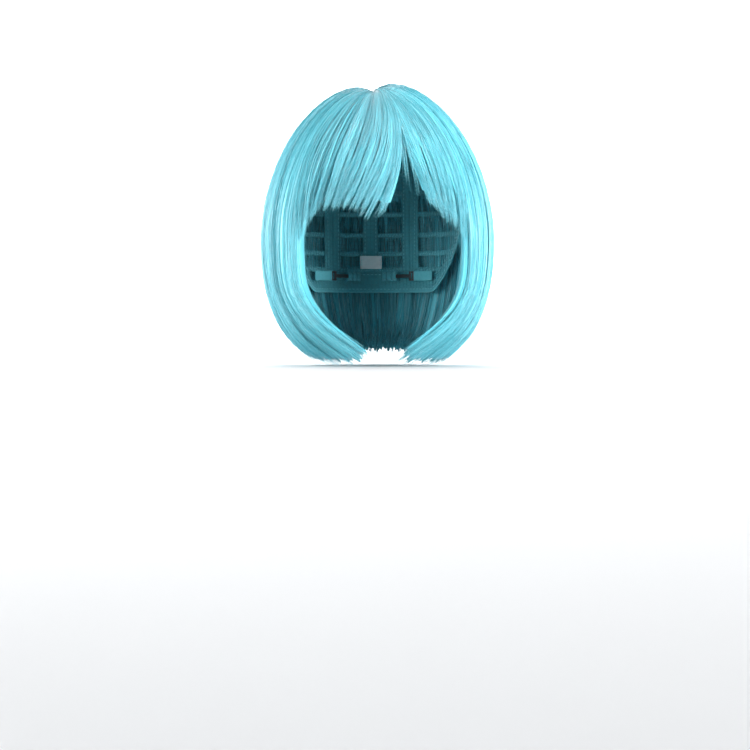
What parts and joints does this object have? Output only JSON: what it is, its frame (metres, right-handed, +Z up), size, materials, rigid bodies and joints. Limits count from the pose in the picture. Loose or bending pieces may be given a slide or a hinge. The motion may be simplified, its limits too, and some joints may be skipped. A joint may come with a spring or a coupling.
{
  "type": "costume wig",
  "caption": "Chin-length bob wig with a full split fringe, sewn in weft rows on a machine-made cap with ear tabs and nape adjusters.",
  "frame": {"origin": "middle of the head that wears the wig, level with the tops of the ears", "axes": "+Z up, the face towards -Y, the wearer's left towards +X"},
  "size_m": [0.19, 0.2285, 0.2297],
  "materials": {
    "hair_fibre": "glossy synthetic fibre, pale aqua blue with darker strands between the locks",
    "cap_net": "open stretch net, matt teal",
    "elastic_band": "woven elastic tape, matt",
    "weft_thread": "stitched weft head, matt",
    "ear_tab_cloth": "brushed knit cloth over a stay",
    "parting_skin": "coated skin patch, satin",
    "hook_plastic": "moulded black plastic",
    "spring_steel": "flat spring strip",
    "satin_label": "white satin ribbon, blank"
  },
  "bodies": {
    "root": {"crown_net": "cap_net", "side_net_left": "cap_net", "side_net_right": "cap_net", "parting_skin": "parting_skin", "rib_centre": "elastic_band", "rib_left": "elastic_band", "rib_right": "elastic_band", "front_band": "elastic_band", "side_band_left": "elastic_band", "side_band_right": "elastic_band", "nape_band": "elastic_band", "fringe_track_1": "weft_thread", "fringe_track_2": "weft_thread", "back_track_1": "weft_thread", "back_track_2": "weft_thread", "back_track_3": "weft_thread", "back_track_4": "weft_thread", "back_track_5": "weft_thread", "back_track_6": "weft_thread", "back_track_7": "weft_thread", "back_track_8": "weft_thread", "adjuster_strap_left": "elastic_band", "adjuster_strap_right": "elastic_band", "adjuster_pockets_left": "elastic_band", "adjuster_pockets_right": "elastic_band", "size_label": "satin_label", "crown_hair_left": "hair_fibre", "crown_hair_right": "hair_fibre", "crown_hair_back": "hair_fibre"},
    "fringe": {"fringe_left": "hair_fibre", "fringe_right": "hair_fibre"},
    "side_left": {"side_hair_left_outer": "hair_fibre", "side_hair_left_inner": "hair_fibre"},
    "side_right": {"side_hair_right_outer": "hair_fibre", "side_hair_right_inner": "hair_fibre"},
    "back": {"back_hair_outer": "hair_fibre", "back_hair_middle": "hair_fibre", "back_hair_nape": "hair_fibre"},
    "tab_left": {"ear_tab_left": "ear_tab_cloth", "ear_tab_stay_left": "spring_steel"},
    "tab_right": {"ear_tab_right": "ear_tab_cloth", "ear_tab_stay_right": "spring_steel"},
    "hook_left": {"adjuster_hook_left": "hook_plastic"},
    "hook_right": {"adjuster_hook_right": "hook_plastic"}
  },
  "joints": [
    {"name": "fringe_lift", "type": "hinge", "parent": "root", "child": "fringe", "pos_m": [0, -0.045, 0.10113], "axis": [-1, 0, 0], "range_deg": [0, 22]},
    {"name": "side_left_swing", "type": "hinge", "parent": "root", "child": "side_left", "pos_m": [0.06733, 0, 0.074], "axis": [0, -1, 0], "range_deg": [0, 25]},
    {"name": "side_right_swing", "type": "hinge", "parent": "root", "child": "side_right", "pos_m": [-0.06733, 0, 0.074], "axis": [0, 1, 0], "range_deg": [0, 25]},
    {"name": "back_lift", "type": "hinge", "parent": "root", "child": "back", "pos_m": [0, 0.06855, 0.088], "axis": [1, 0, 0], "range_deg": [0, 25]},
    {"name": "tab_left_fold", "type": "hinge", "parent": "root", "child": "tab_left", "pos_m": [0.0679, -0.03163, 0.02568], "axis": [0.2735, 0.9619, 0], "range_deg": [0, 60]},
    {"name": "tab_right_fold", "type": "hinge", "parent": "root", "child": "tab_right", "pos_m": [-0.0679, -0.03163, 0.02568], "axis": [0.2735, -0.9619, 0], "range_deg": [0, 60]},
    {"name": "adjuster_left_slide", "type": "slide", "parent": "root", "child": "hook_left", "axis": [-0.8016, 0.5979, 0], "range_m": [0, 0.012], "deforming": ["adjuster_strap_left"]},
    {"name": "adjuster_right_slide", "type": "slide", "parent": "root", "child": "hook_right", "axis": [0.8016, 0.5979, 0], "range_m": [0, 0.012], "deforming": ["adjuster_strap_right"]}
  ]
}
